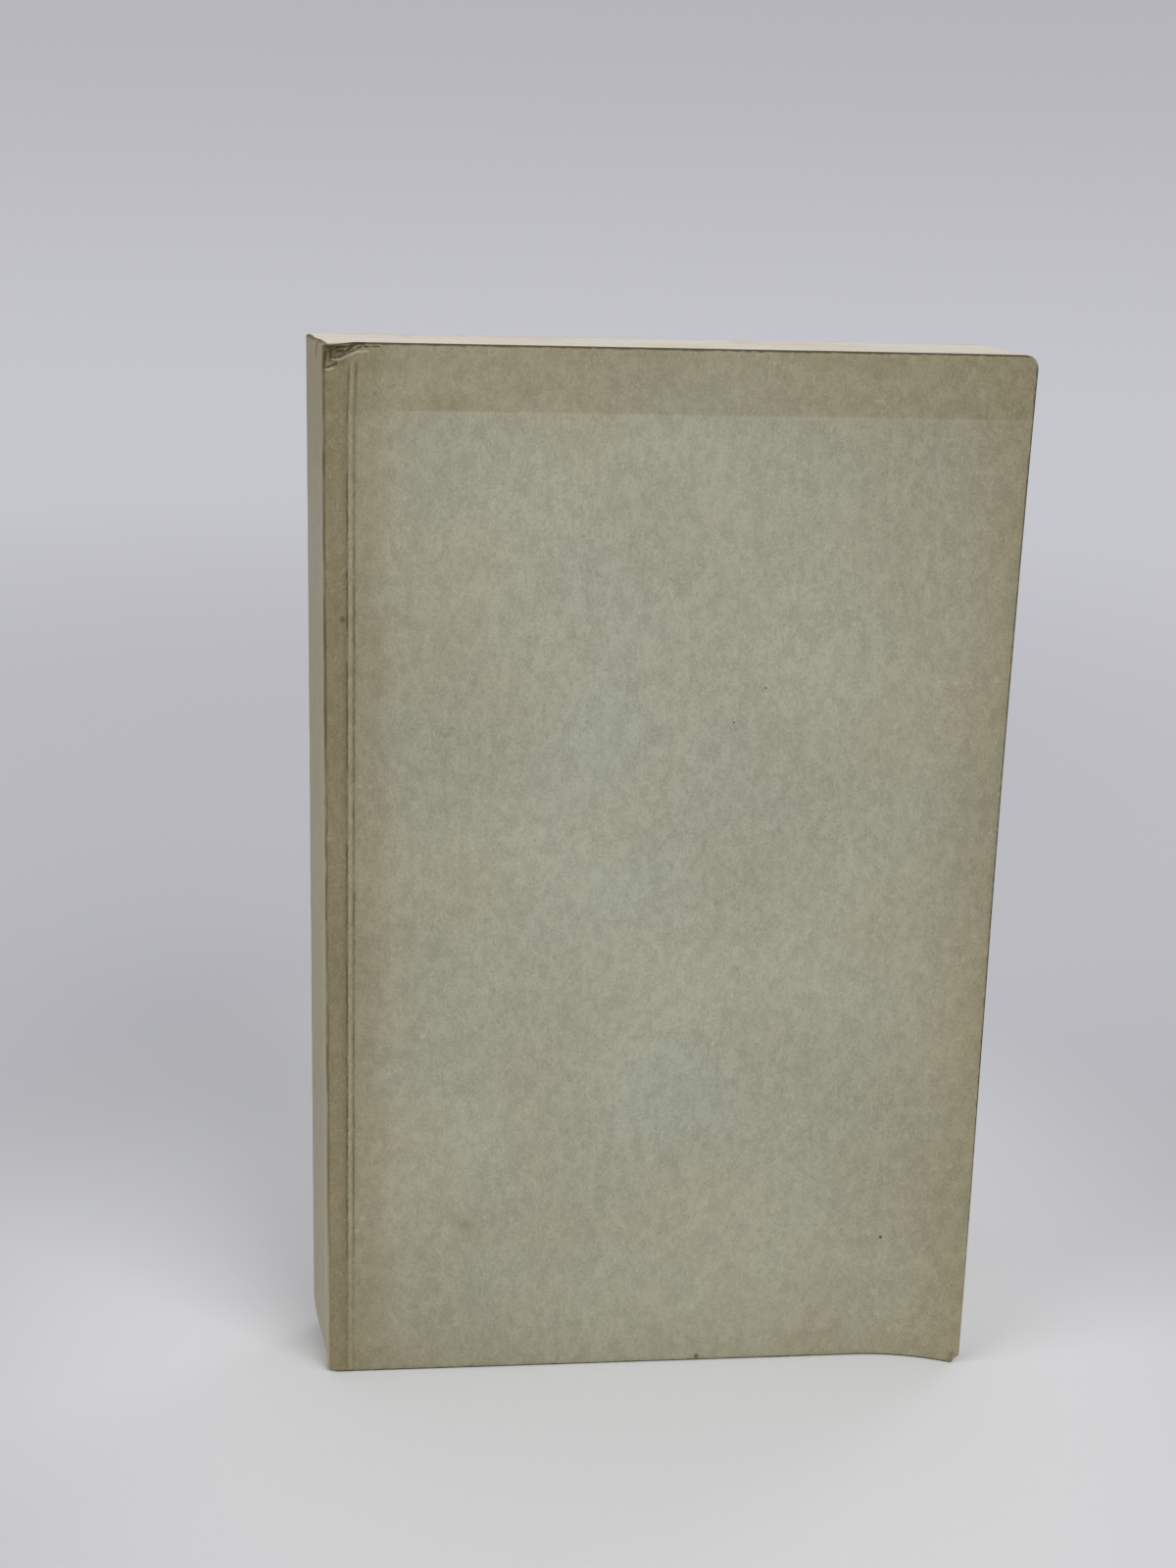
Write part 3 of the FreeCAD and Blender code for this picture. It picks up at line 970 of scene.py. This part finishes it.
def finish_sheet(sheet, outside):
    """Gives the folded sheet its thickness and its finishes, and keeps where its points lie when closed."""
    sheet.data.materials.append(outside)
    sheet.data.materials.append(felt_inside)
    sheet.data.materials.append(felt_cut_edge)
    select_only(sheet)
    solid = sheet.modifiers.new("Thickness", "SOLIDIFY")
    solid.thickness = paper_thickness
    solid.offset = 0
    solid.material_offset = 1
    solid.material_offset_rim = 2
    bpy.ops.object.modifier_apply(modifier=solid.name)
    bpy.ops.object.shade_smooth_by_angle(angle=math.radians(50))
    places = sheet.data.attributes.new("closed_place", "FLOAT_VECTOR", "POINT")
    for vertex in sheet.data.vertices:
        places.data[vertex.index].vector = (vertex.co - Vector((fold_x, front_face_y, 0))) / MM


crease_scores = [3.2 + 0.2 * number for number in range(15)]
mitre_slack = 0.9 * MM
cover_start = 0.3 * MM
cover_grid = 1.0 * MM


def cut_cover(name):
    """A cover's flat sheet, scored at its creases and folds, its fore corners cut off for the mitres."""
    paper = cut_sheet(name, cover_start, fore_fold + turn_in, cover_grid)
    for place in crease_scores:
        score(paper, (place * MM, 0, 0), (1, 0, 0))
    score_folds(paper, True)
    score(paper, (fore_fold + mitre_slack, sheet_top, 0), (1, 1, 0), cut_beyond=True)
    score(paper, (fore_fold + mitre_slack, sheet_tail, 0), (1, -1, 0), cut_beyond=True)
    return paper


def turn_faces(sheet):
    """Turns a sheet's faces round, so that its outer side counts as outside."""
    select_only(sheet)
    bpy.ops.object.mode_set(mode="EDIT")
    bpy.ops.mesh.select_all(action="SELECT")
    bpy.ops.mesh.flip_normals()
    bpy.ops.object.mode_set(mode="OBJECT")


def near_tear(x, y):
    return x < 7.5 * MM and sheet_top - 5.4 * MM < y < sheet_top + 1 * MM


def near_corners(x, y):
    reach = 3.5 * MM
    fore, back = abs(x - fore_fold) < reach, x < reach
    return (fore and abs(y - sheet_top) < reach) or ((fore or back) and abs(y - sheet_tail) < reach)


front_paper = cut_cover("front_cover_paper")
refine(front_paper, near_tear, 5)
refine(front_paper, near_corners, 3)
shape_front(front_paper)
finish_sheet(front_paper, outside_material("felt_front", 0.0, True))
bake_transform(front_paper)
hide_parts("front_cover")

# Back cover
# The same sheet on the far side. It stands off the front cover by the fanned pages and lies almost flat.

def head_sink(share):
    """How far the wrapper's head has sunk over the spine, by the share of the spine's depth."""
    return (0.1 + 0.5 * smooth(1 - share / 0.16) + 0.35 * smooth((share - 0.8) / 0.2)) * MM


def shape_back(sheet):
    """Folds the back cover's flat sheet and sets it on the slope of the last leaf."""
    back_low = 0.15 * MM
    head_rounding, tail_rounding = 1.8 * MM, 1.6 * MM
    head_corner = (cover_width - head_rounding, book_height - head_rounding)
    tail_corner = (cover_width - tail_rounding, tail_rounding)
    slope = math.atan(opening_slope)
    along_cover = Vector((math.cos(slope), math.sin(slope), 0))
    fold = Vector((back_hinge.x, back_hinge.y, 0)) - along_cover * glued_strip
    outwards = Vector((-math.sin(slope), math.cos(slope), 0))
    for vertex in sheet.data.vertices:
        along, up, depth = fold_sheet_point(vertex.co.x, vertex.co.y, True)
        if along > head_corner[0] and up > head_corner[1]:
            along, up = round_corner(along, up, head_corner, head_rounding)
        if along > tail_corner[0] and up < tail_corner[1]:
            along, up = round_corner(along, up, tail_corner, tail_rounding)
        near_fold = smooth(1 - along / (6 * MM))
        up -= head_sink(1.0) * near_fold * max(0.0, 1 - (book_height - up) / (2 * MM))
        up += tail_bump(1.0, up) * near_fold - back_low * smooth(1 - (book_height - up) / (15 * MM))
        outward = gentle_waves(along, up, 4.0) * min(1.0, along / (6 * MM)) + crease_relief(along, up)
        outward += 0.3 * MM * max(0.0, (along - curl_start) / curl_length) ** 2
        depth_here = depth + paper_thickness / 2 - outward
        vertex.co = fold + along_cover * along - outwards * depth_here + Vector((0, 0, up))
        vertex.co.x += spine_dents(1.0, up) * near_fold
    turn_faces(sheet)


back_paper = cut_cover("back_cover_paper")
refine(back_paper, near_corners, 2)
shape_back(back_paper)
finish_sheet(back_paper, outside_material("felt_back", 40.0, False))
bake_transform(back_paper)
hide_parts("back_cover")

# Spine
# The wrapper's wall over the pages' back, leaning with the block and slightly swelled. Its folds are
# rubbed, its head is a little crumpled and its tail is bumped inwards, with a painted shadow for a small
# nick.

fold_round = 0.3 * MM
fold_overlap = 0.5 * MM
tuck = 0.03 * MM
spine_grid = 0.8 * MM


def spine_corners():
    """The wrapper's outer line in plan: a bit of the front, the wall, a bit of the back."""
    slope = math.atan(opening_slope)
    front_fold = Vector((fold_x, front_face_y, 0))
    back_fold = front_fold + Vector((-spine_lean, spine_thickness, 0))
    back_end = back_fold + Vector((math.cos(slope), math.sin(slope), 0)) * fold_overlap
    return [front_fold + Vector((fold_overlap, 0, 0)), front_fold, back_fold, back_end]


def along_line(corners, distance):
    """The point at a distance along a line through corners."""
    for before, after in zip(corners, corners[1:]):
        length = (after - before).length
        if distance <= length or after is corners[-1]:
            return before + (after - before) * (distance / length)
        distance -= length


def spine_path(corners, distance):
    """A point of the rounded line, the way it runs there, and the share of the wall's depth passed."""
    samples = [along_line(corners, distance + fold_round * step / 4) for step in range(-4, 5)]
    place = sum(samples, Vector()) / len(samples)
    way = (samples[-1] - samples[0]).normalized()
    share = min(1.0, max(0.0, (place.y - front_face_y) / spine_thickness))
    return place, way, share


def shape_spine(sheet):
    """Bends the spine's flat strip round both folds and works in its dents and worn ends."""
    corners = spine_corners()
    for vertex in sheet.data.vertices:
        distance = vertex.co.x
        up, depth = fold_sheet_point(0.0, vertex.co.y, False)[1:]
        place, way, share = spine_path(corners, distance)
        outward = Vector((-way.y, way.x, 0))
        across = max(0.0, place.x - fold_x)
        near_head = max(0.0, 1 - max(0.0, book_height - up) / (2 * MM))
        up = worn_tail_corner(across + share * spine_thickness, up) - head_sink(share) * near_head
        on_wall = smooth(share * 8) * smooth((1 - share) * 8)
        from_face = (swell(share) + gentle_waves(distance, up, 12.0)) * on_wall - tuck * (1 - on_wall)
        from_face -= depth + paper_thickness / 2
        vertex.co = place + outward * from_face
        vertex.co += Vector((spine_dents(share, up), 0, up + tail_bump(share, up)))
    turn_faces(sheet)


def spine_material():
    """The same felt on the spine, browner than the covers, rubbed dark along its folds and at its ends, with
    dark scratches and a painted nick shadow at the tail.
    """
    material, tree, shader = new_material("felt_spine")
    _, back, up = split_axes(closed_place(tree))
    height = book_height / MM
    thickness = spine_thickness / MM
    flat = join_axes(back, 200.0, up)
    wander = wavering(flat, 9.0, 3.0, 61.0, 6.0)
    fine_waver = wavering(flat, 0.9, 3.0, 62.0, 0.9)
    from_head = minus(height, plus(up, wander))
    wandering = calc("MULTIPLY_ADD", wander, 0.4, back)
    tone = strongest(
        times(rise(cloud(flat, 20.0, 3.0, 63.0), 0.3, 0.7), 0.55),
        times(rise(from_head, 60, 0), 1.0),
        times(rise(wandering, thickness - 6, thickness), 0.9),
        0.42,
    )
    dyed = use_group(dye_group, Position=flat, Tone=tone, Cool=0.0)
    colour = blend(dyed["Color"], paint(155, 147, 131), 0.5)
    bent = plus(back, times(fine_waver, 0.4))
    rubbed = times(rise(bent, 0.3, 0.7), rise(bent, 3.0, 1.2))
    rubbed = times(rubbed, rise(up, height, 20, 0.1, 0.5))
    colour = blend(colour, paint(168, 160, 134), rubbed)
    front_line = times(rise(bent, 0.42, 0.2), rise(up, 4, 60, 0.2, 1.0))
    rear_line = rise(bent, thickness - 1.1, thickness - 0.3)
    breaks = rise(cloud(flat, 4.0, 3.0, 64.0, stretch=(1, 1, 2.2)), 0.3, 0.58, 0.3, 1.0)
    front_line = times(front_line, breaks)
    rear_line = times(rear_line, breaks)
    colour = stain(colour, (84, 73, 48), front_line, 0.85)
    colour = stain(colour, (84, 76, 58), rear_line, 0.7)
    ends = smaller(up, minus(height, up))
    rim = rise(plus(ends, fine_waver), 0.7, 0.1)
    colour = stain(colour, (80, 68, 48), rim, 0.75)
    # Dark marks: two scratches, and at the tail a painted shadow where a small nick is.
    scratches_and_nick_shadow = (
        (((5.9, height - 0.7), (5.4, height - 2.6)), 0.8, 0.6),
        (((14.5, 0.8), (18.3, 2.4)), 0.8, 0.95),
        (((9.6, 3.6), (18.0, 4.3)), 0.25, 0.4),
    )
    marks = [times(stroke(back, up, ends, width, fine_waver), depth) for ends, width, depth in scratches_and_nick_shadow]
    colour = stain(colour, (52, 42, 28), strongest(*marks), 0.8)
    dress(shader, colour, dyed["Height"], felt_relief, roughness=felt_roughness)
    return material


spine_run = 2 * fold_overlap + Vector((spine_lean, spine_thickness, 0)).length
spine_paper = cut_sheet("spine_paper", 0.0, spine_run, spine_grid)
for corner in (fold_overlap, spine_run - fold_overlap):
    for step in (-0.24, -0.12, 0.0, 0.12, 0.24):
        score(spine_paper, (corner + step * MM, 0, 0), (1, 0, 0))
score_folds(spine_paper, False)


def near_spine_ends(x, y):
    return sheet_top - 6 * MM < y < sheet_top + MM or sheet_tail - MM < y < sheet_tail + 5 * MM


refine(spine_paper, near_spine_ends, 2)
shape_spine(spine_paper)
finish_sheet(spine_paper, spine_material())
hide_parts("cover_spine")
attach(spine_paper, "book")

# Stage
# A pale floor that fades away into an even pale surround, soft lamps from the front right, the front left
# and low behind on the right, and an even pale sky that fills the shadows.

def stage_material():
    """Pale matt floor. Away from the book it darkens a little, a painted fall-off of the light, and thins
    out, so that no horizon shows.
    """
    material, tree, shader = new_material("pale_floor")
    place = tree.nodes.new("ShaderNodeTexCoord").outputs["Object"]
    drift = cloud(place, 0.9, 2.0, 71.0)
    colour = blend(paint(213, 213, 214), paint(218, 218, 219), drift)
    across, back = split_axes(place)[:2]
    length = tree.nodes.new("ShaderNodeVectorMath")
    length.operation = "LENGTH"
    feed(length.inputs[0], join_axes(times(across, 1.15), times(back, 0.85), 0.0))
    distance = length.outputs["Value"]
    # Painted shade: the floor's colour darkens away from the book, standing in for light falling off.
    colour = blend(colour, paint(194, 194, 198), rise(distance, 0.085, 0.2))
    dress(shader, colour, cloud(place, 0.002, 3.0, 72.0), 0.05 * MM, roughness=0.95)
    feed(shader.inputs["Alpha"], rise(distance, 1.0, 0.22))
    return material


bpy.ops.object.select_all(action="DESELECT")
bpy.ops.mesh.primitive_circle_add(vertices=96, radius=2.6, fill_type="NGON", location=(0, 0, 0))
stage_floor = bpy.context.object
stage_floor.name = "stage_floor"
stage_floor.data.materials.append(stage_material())


def make_sky():
    """Even light from all round. Seen directly, it is a pale grey, lighter far below the horizon."""
    world = bpy.data.worlds.new("pale_sky")
    world.use_nodes = True
    tree = world.node_tree
    light = tree.nodes["Background"]
    light.inputs["Color"].default_value = paint(250, 251, 255)
    light.inputs["Strength"].default_value = 0.52
    seen = tree.nodes.new("ShaderNodeBackground")
    direction = tree.nodes.new("ShaderNodeTexCoord").outputs["Generated"]
    upwards = split_axes(direction)[2]
    colour = blend(paint(198, 198, 205), paint(181, 181, 187), rise(upwards, -0.13, 0.09))
    colour = blend(colour, paint(206, 206, 210), rise(upwards, -0.28, -0.6))
    tree.links.new(colour, seen.inputs["Color"])
    rays = tree.nodes.new("ShaderNodeLightPath").outputs
    direct = strongest(rays["Is Camera Ray"], rays["Is Glossy Ray"], rays["Is Transmission Ray"])
    mix = tree.nodes.new("ShaderNodeMixShader")
    tree.links.new(direct, mix.inputs[0])
    tree.links.new(light.outputs[0], mix.inputs[1])
    tree.links.new(seen.outputs[0], mix.inputs[2])
    tree.links.new(mix.outputs[0], tree.nodes["World Output"].inputs["Surface"])
    bpy.context.scene.world = world


def add_softbox(name, place, size, power):
    """A large square lamp that faces the book."""
    bpy.ops.object.light_add(type="AREA", location=place)
    lamp = bpy.context.object
    lamp.name = name
    lamp.data.shape = "SQUARE"
    lamp.data.size = size
    lamp.data.energy = power
    towards_book = Vector((0, 0, book_height / 2)) - lamp.location
    lamp.rotation_euler = towards_book.to_track_quat("-Z", "Y").to_euler()


make_sky()
add_softbox("key_lamp", (0.8, -1.5, 1.6), 1.3, 24.0)
add_softbox("back_lamp", (1.5, 1.4, 0.45), 0.8, 9.0)
add_softbox("fill_lamp", (-1.6, -0.8, 0.9), 1.3, 15.0)

# Camera
# Just above the book's head, close in front, turned a little to its right, with a slight roll.

camera_place = Vector((-55.15, -372.5, 220.2)) * MM
camera_yaw, camera_pitch, camera_roll = (math.radians(angle) for angle in (6.64, 16.13, 1.65))
bpy.ops.object.camera_add(location=camera_place)
camera = bpy.context.object
turned = Matrix.Rotation(-camera_yaw, 4, "Z") @ Matrix.Rotation(math.pi / 2 - camera_pitch, 4, "X")
camera.rotation_euler = (turned @ Matrix.Rotation(camera_roll, 4, "Z")).to_euler()
camera.data.lens = 49.815
camera.data.sensor_width = 36.0
bpy.context.scene.camera = camera
bpy.context.scene.view_settings.view_transform = "Standard"
